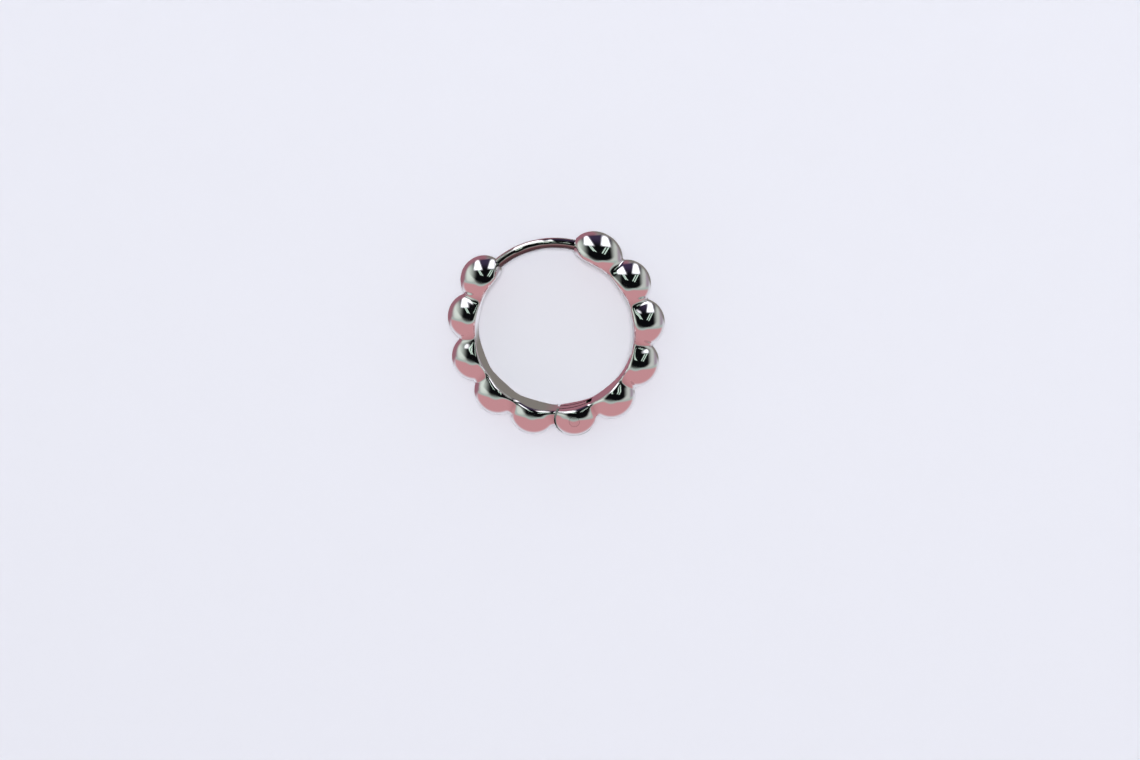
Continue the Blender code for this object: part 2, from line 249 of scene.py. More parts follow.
def cast_to_skin(side):
    starts, directions = ring_rays(side)
    low = np.zeros(starts.shape[:2])
    high = np.full(starts.shape[:2], RAY_LENGTH)
    for _ in range(HALVINGS):
        middle = (low + high) / 2
        inside = half_distance(starts + middle[..., None] * directions, side) < 0
        low = np.where(inside, middle, low)
        high = np.where(inside, high, middle)
    return starts + high[..., None] * directions


# %% [markdown]
# Rings of points are what the rays give, and rods, pins and the floor can be written as rings too. So one
# small function joins rings into a mesh, for all of them. A ring whose points fall together is merged
# into one, as at a globe's pole.

# %% Turn rings of points into a mesh
MERGE_DISTANCE = 0.0005


def mesh_from_rings(name, rings, cap_first, cap_last):
    """Four-sided faces between the rings, with a flat cap over an end that wants one."""
    count = rings.shape[1]
    vertices = rings.reshape(-1, 3).tolist()
    faces = []
    for i in range(len(rings) - 1):
        for j in range(count):
            after = (j + 1) % count
            faces.append((i * count + j, i * count + after, (i + 1) * count + after, (i + 1) * count + j))
    if cap_first:
        faces.append(tuple(range(count))[::-1])
    if cap_last:
        faces.append(tuple(range(len(vertices) - count, len(vertices))))
    mesh = bpy.data.meshes.new(name)
    mesh.from_pydata(vertices, [], faces)
    cage = bmesh.new()
    cage.from_mesh(mesh)
    bmesh.ops.remove_doubles(cage, verts=cage.verts, dist=MERGE_DISTANCE)
    bmesh.ops.recalc_face_normals(cage, faces=cage.faces)
    cage.to_mesh(mesh)
    cage.free()
    obj = bpy.data.objects.new(name, mesh)
    bpy.context.scene.collection.objects.link(obj)
    return obj


def cast_half(name, side):
    skin = cast_to_skin(side)
    half = mesh_from_rings(name, skin, cap_first=True, cap_last=False)
    print(name, "as cast:", len(half.data.polygons), "faces, outer radius",
          round(float(np.hypot(skin[..., 0], skin[..., 1]).max()), 3), "mm")
    return half


wire_side_half = cast_half("wire_side_half", WIRE_SIDE)
catch_side_half = cast_half("catch_side_half", CATCH_SIDE)

# %% [markdown]
# ## Cutting the hinge and the holes
# A maker now files and drills: the wire side gets a flat tongue, the catch side a fork of two ears, and
# a pin goes through all three. Such cuts are crisp, so they are Booleans with plain cutters and not part
# of the smooth distance. The cutters are prisms and bent rods with many sides, made in the same sizes
# as the solids' own, but for two tighter seams. The solver for closed meshes keeps the cut edges clean.

# %% Make the cutters' two basic forms
FINE_SIDES, PIN_SIDES, CUTTER_SIDES = 96, 64, 40


def prism(name, outline, low, high):
    """An upright prism on an outline of (x, y) points, between two heights."""
    count = len(outline)
    vertices = [(x, y, z) for z in (low, high) for x, y in outline]
    faces = [(j, (j + 1) % count, count + (j + 1) % count, count + j) for j in range(count)]
    faces += [tuple(range(count))[::-1], tuple(range(count, 2 * count))]
    mesh = bpy.data.meshes.new(name)
    mesh.from_pydata(vertices, [], faces)
    cage = bmesh.new()
    cage.from_mesh(mesh)
    bmesh.ops.recalc_face_normals(cage, faces=cage.faces)
    cage.to_mesh(mesh)
    cage.free()
    obj = bpy.data.objects.new(name, mesh)
    bpy.context.scene.collection.objects.link(obj)
    return obj


def circle(radius, sides, centre=(0.0, 0.0)):
    turns = [2 * math.pi * (i + 0.5) / sides for i in range(sides)]
    return [(centre[0] + radius * math.cos(turn), centre[1] + radius * math.sin(turn)) for turn in turns]


def bent_rod(name, sections, sides=CUTTER_SIDES):
    """A round rod along the ear wire's circle. Each section is an angle and a radius there."""
    around = np.linspace(0.0, 2 * math.pi, sides, endpoint=False)
    rings = []
    for angle, radius in sections:
        reach = WIRE_CIRCLE_RADIUS + radius * np.cos(around)
        rings.append(np.stack((reach * math.cos(angle), reach * math.sin(angle), radius * np.sin(around)), 1))
    return mesh_from_rings(name, np.array(rings), cap_first=True, cap_last=True)


# %% [markdown]
# Each half turns about the pin, so its end is rounded about the pin and nothing of it reaches past that
# knuckle. Both halves are cut by the same few shapes: all beyond the knuckle, round room for the other
# half's ears or tongue, and the pin's bore.

# %% Make the cutters of the hinge
CUTTER_REACH = 4.0
PIN_PLACE = (0.0, -PIN_CIRCLE_RADIUS)
SECTION_STEP = math.radians(1.0)


def carve(piece, *cutters):
    for cutter in cutters:
        cut = piece.modifiers.new("cut by " + cutter.name, "BOOLEAN")
        cut.operation = "DIFFERENCE"
        cut.solver = "MANIFOLD"
        cut.object = cutter
    bpy.context.view_layer.update()
    evaluated = piece.evaluated_get(bpy.context.evaluated_depsgraph_get())
    finished = bpy.data.meshes.new_from_object(evaluated)
    piece.modifiers.clear()
    piece.data = finished
    for cutter in cutters:
        bpy.data.objects.remove(cutter, do_unlink=True)
    print(piece.name, "after cutting:", len(finished.polygons), "faces")


def beyond_knuckle(side):
    """All that lies past the hinge's middle and outside the knuckle's round."""
    far = 2 * CUTTER_REACH
    turns = [math.pi / 2 - math.pi * i / FINE_SIDES for i in range(FINE_SIDES + 1)]
    arc = [(KNUCKLE_RADIUS * math.cos(turn), KNUCKLE_RADIUS * math.sin(turn)) for turn in turns]
    outline = [(0.0, -far), (far, -far), (far, far), (0.0, far)] + arc
    moved = [(-side * x + PIN_PLACE[0], y + PIN_PLACE[1]) for x, y in outline]
    return prism("beyond_knuckle", moved, -CUTTER_REACH, CUTTER_REACH)


def pin_bore(clearance):
    outline = circle(PIN_RADIUS + clearance, PIN_SIDES, PIN_PLACE)
    return prism("pin_bore", outline, -CUTTER_REACH, CUTTER_REACH)


def room(clearance, low, high):
    outline = circle(KNUCKLE_RADIUS + clearance, FINE_SIDES, PIN_PLACE)
    return prism("room", outline, low, high)


def arc_sections(start, end, radius):
    steps = max(1, round(abs(end - start) / SECTION_STEP))
    return [(start + (end - start) * i / steps, radius) for i in range(steps + 1)]


# %% [markdown]
# On the wire's side a flat tongue is left for the hinge. The end bead is faced square to the wire and
# drilled, and the wire is pressed in. A pressed wire shows only a hairline seam, so the socket is drawn
# that tight here, where the solids leave a wider gap.

# %% Cut the wire side: its tongue, its root face and the socket for the wire
SEAM = 0.02
SOCKET_LEAD, SOCKET_RUN_OUT = 0.1, 0.02


def root_face_cutter():
    """A block whose one face is square to the wire where the wire leaves the bead."""
    outward = Vector((math.cos(root_face_angle), math.sin(root_face_angle)))
    along = Vector((math.sin(root_face_angle), -math.cos(root_face_angle)))
    middle = WIRE_CIRCLE_RADIUS * outward
    far = CUTTER_REACH
    corners = [middle - far * outward, middle + far * outward,
               middle + far * outward + far * along, middle - far * outward + far * along]
    return prism("root_face", [tuple(corner) for corner in corners], -far, far)


tongue_face = TONGUE_THICKNESS / 2
socket = bent_rod("socket", arc_sections(root_face_angle - SOCKET_LEAD, wire_root_angle + SOCKET_RUN_OUT,
                                        WIRE_RADIUS + SEAM))
carve(wire_side_half, beyond_knuckle(WIRE_SIDE), room(EAR_END_CLEARANCE, tongue_face, CUTTER_REACH),
      room(EAR_END_CLEARANCE, -CUTTER_REACH, -tongue_face), pin_bore(PIN_CLEARANCE), root_face_cutter(),
      socket)

# %% [markdown]
# On the catch side a slot between two ears takes the tongue, and the end bead has a wider hole that the
# wire's tip finds by itself. A drill leaves a sharp rim there, which a maker breaks with a tiny chamfer.

# %% Cut the catch side: the fork's slot and the catch hole with its chamfered mouth
MOUTH_CHAMFER = 0.03
CHAMFER_BEFORE, CHAMFER_BEYOND, CHAMFER_WIDENING = 2.0, 3.0, 2.5
MOUTH_SHIFT, MOUTH_LEAD = 0.02, 0.25


def catch_hole():
    """The catch hole, with a flare at its mouth that is a few chamfers long."""
    hole = WIRE_RADIUS + CATCH_CLEARANCE
    mouth = catch_mouth_angle + MOUTH_SHIFT
    chamfer = MOUTH_CHAMFER / WIRE_CIRCLE_RADIUS
    end = wire_tip_angle - HOLE_END_CLEARANCE / WIRE_CIRCLE_RADIUS
    sections = arc_sections(end, mouth - CHAMFER_BEFORE * chamfer, hole)
    flare = (mouth + CHAMFER_BEYOND * chamfer, hole + CHAMFER_WIDENING * MOUTH_CHAMFER)
    return bent_rod("catch_hole", sections + [flare, (mouth + MOUTH_LEAD, flare[1])])


slot_face = tongue_face + SLOT_SIDE_CLEARANCE
carve(catch_side_half, beyond_knuckle(CATCH_SIDE), room(TONGUE_END_CLEARANCE, -slot_face, slot_face),
      pin_bore(SEAM), catch_hole())

# %% [markdown]
# ## The pin
# The pin is riveted and dressed flush, so that only a hairline ring shows where it meets the ear. A plain
# cylinder would stand proud of the round bead or sink in it. So each point of the pin's ends is moved up
# or down until it lies on the bead's own surface.

# %% Make the pin, with ends that follow the hinge bead
PIN_RING_SHARES = (0.02, 0.3, 0.55, 0.75, 0.9, 1.0)
SETTLING_STEPS = 60


def flush_pin():
    rings = []
    around = np.linspace(0.0, 2 * math.pi, PIN_SIDES, endpoint=False)
    radii = [PIN_RADIUS * share for share in PIN_RING_SHARES]
    for sign in (1, -1):
        for radius in radii[::sign]:
            x = radius * np.cos(around)
            y = -PIN_CIRCLE_RADIUS + radius * np.sin(around)
            level = np.ones_like(x)
            for _ in range(SETTLING_STEPS):
                points = np.stack((x, y, level), 1)
                level = level - half_distance(points, CATCH_SIDE)
            rings.append(np.stack((x, y, sign * level), 1))
    return mesh_from_rings("hinge_pin_flush", np.array(rings), cap_first=True, cap_last=True)


hinge_pin = flush_pin()
print("pin:", len(hinge_pin.data.polygons), "faces")

# %% [markdown]
# ## The ear wire
# The ear wire is drawn wire, bent to the hoop's circle. Its tip is rounded, because it goes through skin.
# A curve with a bevel would do for the length but not for the tip, so the wire is written as sections
# that shrink towards the tip along a quarter circle.

# %% Make the ear wire
WIRE_SIDES, TIP_STEPS = 56, 8


def drawn_wire():
    """Sections from the rounded tip in the catch hole to the root in the socket."""
    flat = WIRE_RADIUS - WIRE_TIP_ROUNDING
    tip = []
    for i in range(TIP_STEPS + 1):
        turn = math.pi / 2 * i / TIP_STEPS
        back = WIRE_TIP_ROUNDING * (1 - math.cos(turn))
        tip.append((wire_tip_angle + back / WIRE_CIRCLE_RADIUS, flat + WIRE_TIP_ROUNDING * math.sin(turn)))
    body = arc_sections(tip[-1][0], wire_root_angle, WIRE_RADIUS)
    return bent_rod("drawn_ear_wire", tip + body[1:], sides=WIRE_SIDES)


ear_wire = drawn_wire()
print("wire:", len(ear_wire.data.polygons), "faces")

# %% [markdown]
# ## The necks between the beads
# A polishing wheel brightens the domes, but not the necks between them, which stay a little duller. The
# necks are also painted a little darker, and that darkening is painted shade in the creases. A map of them
# could be painted by hand. Here the sum that made the beads already knows where the necks are: a point in
# a neck lies outside every bead. That distance is kept on the mesh's points, and the metal reads it. The
# wire keeps another set of numbers: its own length and its section, as if it were pulled straight, so
# that marks can run along it round the bend.

# %% Mark the necks and straighten the wire
NECK_DEPTH = 0.22


def points_of(piece):
    places = np.empty(3 * len(piece.data.vertices))
    piece.data.vertices.foreach_get("co", places)
    return places.reshape(-1, 3)


def mark_necks(piece, side):
    """Keep nought on a dome and one deep in a neck, on each point."""
    points = points_of(piece)
    nearest = np.min([bead_distance(points, side, number) for number in range(BEADS_PER_HALF + 1)], axis=0)
    neck = np.clip(nearest / NECK_DEPTH, 0.0, 1.0)
    marks = piece.data.attributes.new("neck", "FLOAT", "POINT")
    marks.data.foreach_set("value", neck)
    print(piece.name, "points in necks:", int((neck > 0.5).sum()), "of", len(neck))


def straighten(piece):
    """Keep the place along the wire and in its section, in mm, on each point."""
    points = points_of(piece)
    reach = np.hypot(points[:, 0], points[:, 1])
    along = WIRE_CIRCLE_RADIUS * np.arctan2(points[:, 1], points[:, 0])
    straight = np.stack((along, reach - WIRE_CIRCLE_RADIUS, points[:, 2]), 1)
    marks = piece.data.attributes.new("straightened", "FLOAT_VECTOR", "POINT")
    marks.data.foreach_set("vector", straight.ravel())


mark_necks(wire_side_half, WIRE_SIDE)
mark_necks(catch_side_half, CATCH_SIDE)
straighten(ear_wire)

# %% [markdown]
# ## Scaling and shading
# The pieces are moved to the hoop's place and scaled to metres in their meshes, so that each object
# stays at the origin, as the solids do. Faces are shaded smooth and only edges over 35 degrees stay
# sharp: the domes then reflect without facets, and the filed edges stay crisp.

# %% Move the pieces into place and let them ride on their bodies
SHARP_ANGLE = math.radians(35.0)
PIECES = (
    (wire_side_half, "wire_side", "wire_half", "cast_metal"),
    (catch_side_half, "catch_side", "catch_half", "cast_metal"),
    (hinge_pin, "catch_side", "hinge_pin", "pin_metal"),
    (ear_wire, "wire_side", "ear_wire", "wire_metal"),
)
for piece, body, node, metal in PIECES:
    piece.data.transform(Matrix.Scale(MM, 4) @ Matrix.Translation(HOOP_CENTRE))
    piece.data.shade_smooth()
    piece.data.set_sharp_from_angle(angle=SHARP_ANGLE)
    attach(piece, body)
    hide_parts(node)
    print(piece.name, "rides on", body, "and stands for", node)

# %% [markdown]
# ## The metals
# All the metal is mirror bright, and what makes a mirror look real is what is slightly wrong with it.
# A plain colour with a low roughness looks like a drawing. So each finish starts from the polish and adds
# what its making and wearing leave: a faint swell of the cast surface, hairlines from a cloth, small
# dents, and dull necks. All of it comes from noise in the pieces' own places, so nothing has to be
# unwrapped. Patterns are counted in cells per millimetre, and bump heights are in millimetres. A pair of
# numbers says where a mark begins to show and where it shows in full.

# %% Make a small calculator for shader nodes
class Calculator:
    """Writes shader maths in one line each. Values may be numbers or sockets."""

    def __init__(self, tree):
        self.tree = tree

    def node(self, kind, **settings):
        node = self.tree.nodes.new(kind)
        for key, value in settings.items():
            setattr(node, key, value)
        return node

    def feed(self, socket, value):
        if isinstance(value, bpy.types.NodeSocket):
            self.tree.links.new(value, socket)
        else:
            socket.default_value = value

    def maths(self, operation, a, b=0.0, c=0.0):
        node = self.node("ShaderNodeMath", operation=operation)
        for socket, value in zip(node.inputs, (a, b, c)):
            self.feed(socket, value)
        return node.outputs[0]

    def vector_maths(self, operation, a, b):
        node = self.node("ShaderNodeVectorMath", operation=operation)
        self.feed(node.inputs[0], a)
        self.feed(node.inputs[1], tuple(b))
        return node

    def dot(self, vector, axis):
        return self.vector_maths("DOT_PRODUCT", vector, axis).outputs["Value"]

    def stretch(self, vector, factors):
        return self.vector_maths("MULTIPLY", vector, factors).outputs["Vector"]

    def rise(self, value, low, high):
        """Nought below low, one above high and a soft step between. Low may be above high."""
        node = self.node("ShaderNodeMapRange", interpolation_type="SMOOTHSTEP")
        for socket, entry in zip(node.inputs, (value, low, high, 0.0, 1.0)):
            self.feed(socket, entry)
        return node.outputs[0]

    def blend(self, share, first, second):
        node = self.node("ShaderNodeMix", data_type="RGBA")
        self.feed(node.inputs["Factor"], share)
        for socket, value in zip([s for s in node.inputs if s.type == "RGBA"], (first, second)):
            self.feed(socket, (*value, 1.0) if isinstance(value, tuple) else value)
        return [s for s in node.outputs if s.type == "RGBA"][0]

    def noise(self, vector, detail=2.0):
        node = self.node("ShaderNodeTexNoise")
        self.feed(node.inputs["Vector"], vector)
        self.feed(node.inputs["Scale"], 1.0)
        self.feed(node.inputs["Detail"], detail)
        return node.outputs[0]

    def weigh(self, start, marks, weights):
        """A number plus each named mark times its weight."""
        total = start
        for name, weight in weights.items():
            total = self.maths("MULTIPLY_ADD", marks[name], weight, total)
        return total

    def own_places(self):
        """The places on the piece itself, in mm."""
        return self.stretch(self.node("ShaderNodeTexCoord").outputs["Object"], [1 / MM] * 3)

    def pattern(self, places, cells, detail=2.0):
        """Noise with so many cells per mm along each axis, for places in mm."""
        return self.noise(self.stretch(places, cells), detail)


def start_metal(name):
    material = bpy.data.materials.new(name)
    material.use_nodes = True
    shader = material.node_tree.nodes["Principled BSDF"]
    shader.inputs["Metallic"].default_value = 1.0
    return material, shader, Calculator(material.node_tree)


def finish_metal(calc, shader, colour, roughness, height):
    """Join colour, roughness and a bump height in mm to the shader."""
    bump = calc.node("ShaderNodeBump")
    bump.inputs["Strength"].default_value = 1.0
    bump.inputs["Distance"].default_value = MM
    calc.feed(bump.inputs["Height"], height)
    calc.feed(shader.inputs["Base Color"], colour)
    calc.feed(shader.inputs["Roughness"], roughness)
    calc.feed(shader.inputs["Normal"], bump.outputs["Normal"])


# %% [markdown]
# ### The polished casting
# The domes are cast, tumbled and plated. The swell is under a thousandth of a millimetre high, yet it
# bends the reflections a little, as on the real thing. Hairlines run in two directions, because a hoop
# is turned over as it is wiped.

# %% Make the polished casting's metal
# The second colour is painted shade in the necks.
BRIGHT_METAL, NECK_PAINTED_SHADE = (0.80, 0.80, 0.81), (0.60, 0.575, 0.585)
NECK_SHADE_SHARE = 0.7
SWELL_CELLS, HAZE_CELLS, DENT_CELLS = 1 / 0.75, 1 / 0.45, 1 / 0.16
SCRATCH_CELLS_ALONG, SCRATCH_CELLS_ACROSS = 1.2, 45.0
HAZE_SHOWS, DENTS_SHOW, SCRATCHES_SHOW = (0.45, 0.75), (0.74, 0.82), (0.66, 0.70)
CAST_POLISH = 0.035
CAST_DULLING = {"haze": 0.035, "neck": 0.09, "scratches": 0.10, "dents": 0.08}
CAST_HEIGHTS = {"swell": 0.0012, "dents": -0.0010, "scratches": -0.00025}


def hairlines(calc, places, direction):
    """Thin scratches along one direction, from noise that is squeezed across it."""
    cells = [SCRATCH_CELLS_ALONG if along else SCRATCH_CELLS_ACROSS for along in direction]
    return calc.rise(calc.pattern(places, cells, detail=3.0), *SCRATCHES_SHOW)


def polished_casting():
    material, shader, calc = start_metal("polished_cast_metal")
    places = calc.own_places()
    one_way = hairlines(calc, places, (1, 0, 0))
    other_way = hairlines(calc, places, (0, 1, 0))
    marks = {
        "neck": calc.node("ShaderNodeAttribute", attribute_name="neck").outputs["Fac"],
        "swell": calc.pattern(places, [SWELL_CELLS] * 3),
        "haze": calc.rise(calc.pattern(places, [HAZE_CELLS] * 3, detail=4.0), *HAZE_SHOWS),
        "dents": calc.rise(calc.pattern(places, [DENT_CELLS] * 3, detail=1.0), *DENTS_SHOW),
        "scratches": calc.maths("MAXIMUM", one_way, other_way),
    }
    # Painted shade: the colour turns darker in the necks.
    colour = calc.blend(calc.maths("MULTIPLY", marks["neck"], NECK_SHADE_SHARE), BRIGHT_METAL, NECK_PAINTED_SHADE)
    roughness = calc.weigh(CAST_POLISH, marks, CAST_DULLING)
    finish_metal(calc, shader, colour, roughness, calc.weigh(0.0, marks, CAST_HEIGHTS))
    return material


cast_metal = polished_casting()
print("polished casting:", len(cast_metal.node_tree.nodes), "nodes")

# %% [markdown]
# ### The drawn wire
# Wire is pulled through a die, which leaves fine lines along it. They follow the bend because they are
# made in the straightened wire's places. Bending leaves faint waves along it, which break the lamps'
# streak into patches. The inside of the bend is painted darker and made a little rougher there: the
# darkening is painted shade.

# %% Make the drawn wire's metal
# The third colour is painted shade on the inside of the bend.
WIRE_BRIGHT, WIRE_DULL, WIRE_PAINTED_SHADE = (0.70, 0.69, 0.68), (0.46, 0.445, 0.44), (0.10, 0.095, 0.10)
LINE_CELLS, WIRE_HAZE_CELLS = (0.35, 16.0, 16.0), (1.6, 2.5, 2.5)
NICK_CELLS, WAVE_CELLS = (5.0, 9.0, 9.0), (0.8, 0.4, 0.4)
PAINTED_SHADE_FROM_TO, PAINTED_SHADE_SHARE = (0.08, -0.20), 0.95
LINES_TINT, LINES_DULL, NICKS_SHOW = (0.45, 0.75), (0.35, 0.75), (0.72, 0.80)
WIRE_POLISH = 0.02
WIRE_DULLING = {"dull_lines": 0.08, "haze": 0.05, "nicks": 0.08, "inside": 0.06}
WIRE_HEIGHTS = {"lines": 0.0009, "nicks": -0.0008, "waves": 0.16}


def drawn_metal():
    material, shader, calc = start_metal("drawn_wire_metal")
    straight = calc.node("ShaderNodeAttribute", attribute_name="straightened").outputs["Vector"]
    section = calc.node("ShaderNodeSeparateXYZ")
    calc.feed(section.inputs[0], straight)
    lines = calc.pattern(straight, LINE_CELLS, detail=3.0)
    # Painted shade: the wire's colour darkens towards the inside of the bend.
    inside = calc.maths("MULTIPLY", calc.rise(section.outputs["Y"], *PAINTED_SHADE_FROM_TO), PAINTED_SHADE_SHARE)
    marks = {
        "lines": lines,
        "dull_lines": calc.rise(lines, *LINES_DULL),
        "haze": calc.pattern(straight, WIRE_HAZE_CELLS, detail=3.0),
        "nicks": calc.rise(calc.pattern(straight, NICK_CELLS, detail=1.0), *NICKS_SHOW),
        "waves": calc.pattern(straight, WAVE_CELLS, detail=1.0),
        "inside": inside,
    }
    buffed = calc.blend(calc.rise(lines, *LINES_TINT), WIRE_BRIGHT, WIRE_DULL)
    roughness = calc.weigh(WIRE_POLISH, marks, WIRE_DULLING)
    # The inside of the bend gets its painted shade here.
    colour = calc.blend(inside, buffed, WIRE_PAINTED_SHADE)
    finish_metal(calc, shader, colour, roughness, calc.weigh(0.0, marks, WIRE_HEIGHTS))
    return material


wire_metal = drawn_metal()
print("drawn wire:", len(wire_metal.node_tree.nodes), "nodes")

# %% [markdown]
# ### The dressed pin
# The pin's ends are filed flush and buffed together with the bead. A file and a small wheel turn about
# the pin, so its faint marks are rings.

# %% Make the pin's metal and put all the metals on
PIN_BRIGHT, PIN_DULL = (0.79, 0.79, 0.80), (0.68, 0.67, 0.68)
RING_CELLS, PIN_HAZE_CELLS = 28.0, 4.0
RINGS_TINT = (0.45, 0.70)
PIN_POLISH = 0.05
PIN_DULLING = {"rings": 0.07, "haze": 0.04}
PIN_HEIGHTS = {"rings": 0.0010}


def dressed_metal():
    material, shader, calc = start_metal("dressed_pin_metal")
    places = calc.own_places()
    pin_axis = (PIN_PLACE[0], PIN_PLACE[1] + HOOP_CENTRE.y, 0.0)
    from_pin = calc.vector_maths("SUBTRACT", places, pin_axis).outputs["Vector"]
    flat = calc.stretch(from_pin, (1.0, 1.0, 0.0))
    reach = calc.vector_maths("LENGTH", flat, (0.0, 0.0, 0.0)).outputs["Value"]
    ring_places = calc.node("ShaderNodeCombineXYZ")
    calc.feed(ring_places.inputs["X"], calc.maths("MULTIPLY", reach, RING_CELLS))
    marks = {
        "rings": calc.noise(ring_places.outputs["Vector"], detail=3.0),
        "haze": calc.pattern(places, [PIN_HAZE_CELLS] * 3),
    }
    colour = calc.blend(calc.rise(marks["rings"], *RINGS_TINT), PIN_BRIGHT, PIN_DULL)
    roughness = calc.weigh(PIN_POLISH, marks, PIN_DULLING)
    finish_metal(calc, shader, colour, roughness, calc.weigh(0.0, marks, PIN_HEIGHTS))
    return material


pin_metal = dressed_metal()
for piece, material in ((wire_side_half, cast_metal), (catch_side_half, cast_metal),
                        (hinge_pin, pin_metal), (ear_wire, wire_metal)):
    piece.data.materials.clear()
    piece.data.materials.append(material)
    print(piece.name, "is made of", material.name)

# %% [markdown]
# ## What the metal mirrors
# A mirror has no look of its own: it shows the studio. Every bead shows the same picture, as a mirror
# ball does: two softboxes high up with a dusky gap between them, short tube lamps under them, pale walls
# at both sides, the dark room behind the lens, and a warm pink panel low in front. Lamps and cards near
# the hoop could stand for these, but each bead would then see them differently. A world far away shows
# the same on every bead, so the studio is drawn in the world's shader, by direction. It only shows in
# reflections, and lamps light the floor.

# %% Name the room's colours
BLACK_ROOM = (0.004, 0.004, 0.005)
LEFT_WALL, LEFT_SHADE, LEFT_CORNER = (0.80, 0.88, 0.80), (0.42, 0.46, 0.42), (0.36, 0.29, 0.32)
RIGHT_WALL, RIGHT_CORNER = (0.60, 0.63, 0.59), (0.40, 0.33, 0.39)
DUSK_GAP = (0.05, 0.035, 0.075)
SOFTBOX_LIGHT = (2.2, 2.2, 2.3)
TUBE_LIGHT = (1.15, 1.45, 1.25)
PANEL_EDGE = (0.46, 0.54, 0.50)
PINK_PANEL = (0.65, 0.32, 0.34)
MAUVE_PANEL = (0.36, 0.16, 0.20)
PALE_TABLE = (0.78, 0.775, 0.85)
OLIVE_SHADE = (0.24, 0.22, 0.20)

# %% [markdown]
# A mirror ball shows the whole room at once: its middle mirrors the lens and its edge what lies behind
# the ball. So every direction in the room has one place on the ball, from -1 to 1 across and up. The
# studio is drawn in those two numbers, because that is where it was seen. They are worked out from the
# direction alone and stay the same from any camera.

# %% Find each direction's place on the mirror ball
world = bpy.data.worlds.new("studio_seen_in_the_beads")
bpy.context.scene.world = world
world.use_nodes = True
world.cycles_visibility.diffuse = False
calc = Calculator(world.node_tree)
direction = calc.node("ShaderNodeTexCoord").outputs["Generated"]
away = CAMERA_FROM_CENTRE.normalized()
rightwards = IMAGE_UP.cross(away).normalized()
upwards = away.cross(rightwards)
across = calc.dot(direction, rightwards)
up = calc.dot(direction, upwards)
near = calc.dot(direction, away)
# A touch over two, so that nothing is divided by nought right behind the ball
JUST_OVER_TWO = 2.0002
ball = calc.maths("SQRT", calc.maths("MULTIPLY_ADD", near, 2.0, JUST_OVER_TWO))
ball_x = calc.maths("DIVIDE", across, ball)
ball_y = calc.maths("DIVIDE", up, ball)
print("the room faces:", [round(c, 3) for c in away])

# %% [markdown]
# The lights are two large softboxes, which narrow towards the top, and four thin tubes under them, which
# spread like a V. Each is a slanted strip between two heights on the ball, with soft edges, so one
# function draws them all. The left wall glows in an oval.

# %% Draw the lights
# The columns are: middle, lean, half width, spread, low end, high end, softness
SOFTBOXES = ((-0.24, -0.16, 0.17, -0.26, 0.36, 0.82, 0.06),
             (0.36, 0.02, 0.16, -0.20, 0.40, 0.80, 0.06))
TUBES = ((-0.090, -0.60, 0.014, 0.0, 0.10, 0.36, 0.022),
         (-0.015, -0.60, 0.014, 0.0, 0.07, 0.34, 0.022),
         (0.195, 0.58, 0.014, 0.0, 0.07, 0.34, 0.022),
         (0.270, 0.58, 0.014, 0.0, 0.04, 0.36, 0.022))


def light_shape(middle, lean, half_width, spread, low, high, soft):
    """A slanted light on the mirror ball, between two heights there."""
    height = calc.maths("SUBTRACT", ball_y, low)
    centre = calc.maths("MULTIPLY_ADD", height, lean, middle)
    width = calc.maths("MULTIPLY_ADD", height, spread, half_width)
    off = calc.maths("ABSOLUTE", calc.maths("SUBTRACT", ball_x, centre))
    inside = calc.rise(calc.maths("SUBTRACT", off, width), soft, -soft)
    above = calc.rise(ball_y, low - soft, low + soft)
    below = calc.rise(ball_y, high + 2 * soft, high - 2 * soft)
    return calc.maths("MULTIPLY", inside, calc.maths("MULTIPLY", above, below))


def spot(x, y, wide, high, soft):
    """One inside an oval on the mirror ball and nought outside it."""
    side_step = calc.maths("DIVIDE", calc.maths("SUBTRACT", ball_x, x), wide)
    rise_step = calc.maths("DIVIDE", calc.maths("SUBTRACT", ball_y, y), high)
    across_part = calc.maths("MULTIPLY", side_step, side_step)
    off = calc.maths("ADD", across_part, calc.maths("MULTIPLY", rise_step, rise_step))
    return calc.rise(off, 1 + soft, 1 - soft)


softboxes = [light_shape(*numbers) for numbers in SOFTBOXES]
tubes = [light_shape(*numbers) for numbers in TUBES]
print(len(softboxes), "softboxes and", len(tubes), "tubes")

# %% [markdown]
# The room is laid down from back to front, as a painter would. First come the walls, then the dark behind
# the lens with a dusky gap at its top, and then the lights. Each step between two colours is a soft one
# between two places on the ball.

# %% Lay down the walls, the dark and the lights
WALLS_MEET = (-0.2, 0.2)
LEFT_GLOW = (-0.56, 0.26, 0.26, 0.40, 0.95)
LEFT_CORNER_STEP, RIGHT_CORNER_STEP = (-0.66, -0.86), (0.70, 0.84)
DARK_LEFT_STEP, DARK_RIGHT_STEP, DARK_LOW_STEP = (-0.72, -0.24), (0.70, 0.47), (-0.35, -0.20)
DARK_MIDDLE, DARK_CURVE = 0.12, -0.95
GAP_STEP = (0.32, 0.72)

left_wall = calc.blend(spot(*LEFT_GLOW), LEFT_SHADE, LEFT_WALL)
left_side = calc.blend(calc.rise(ball_x, *LEFT_CORNER_STEP), left_wall, LEFT_CORNER)
right_side = calc.blend(calc.rise(ball_x, *RIGHT_CORNER_STEP), RIGHT_WALL, RIGHT_CORNER)
room_colour = calc.blend(calc.rise(ball_x, *WALLS_MEET), left_side, right_side)

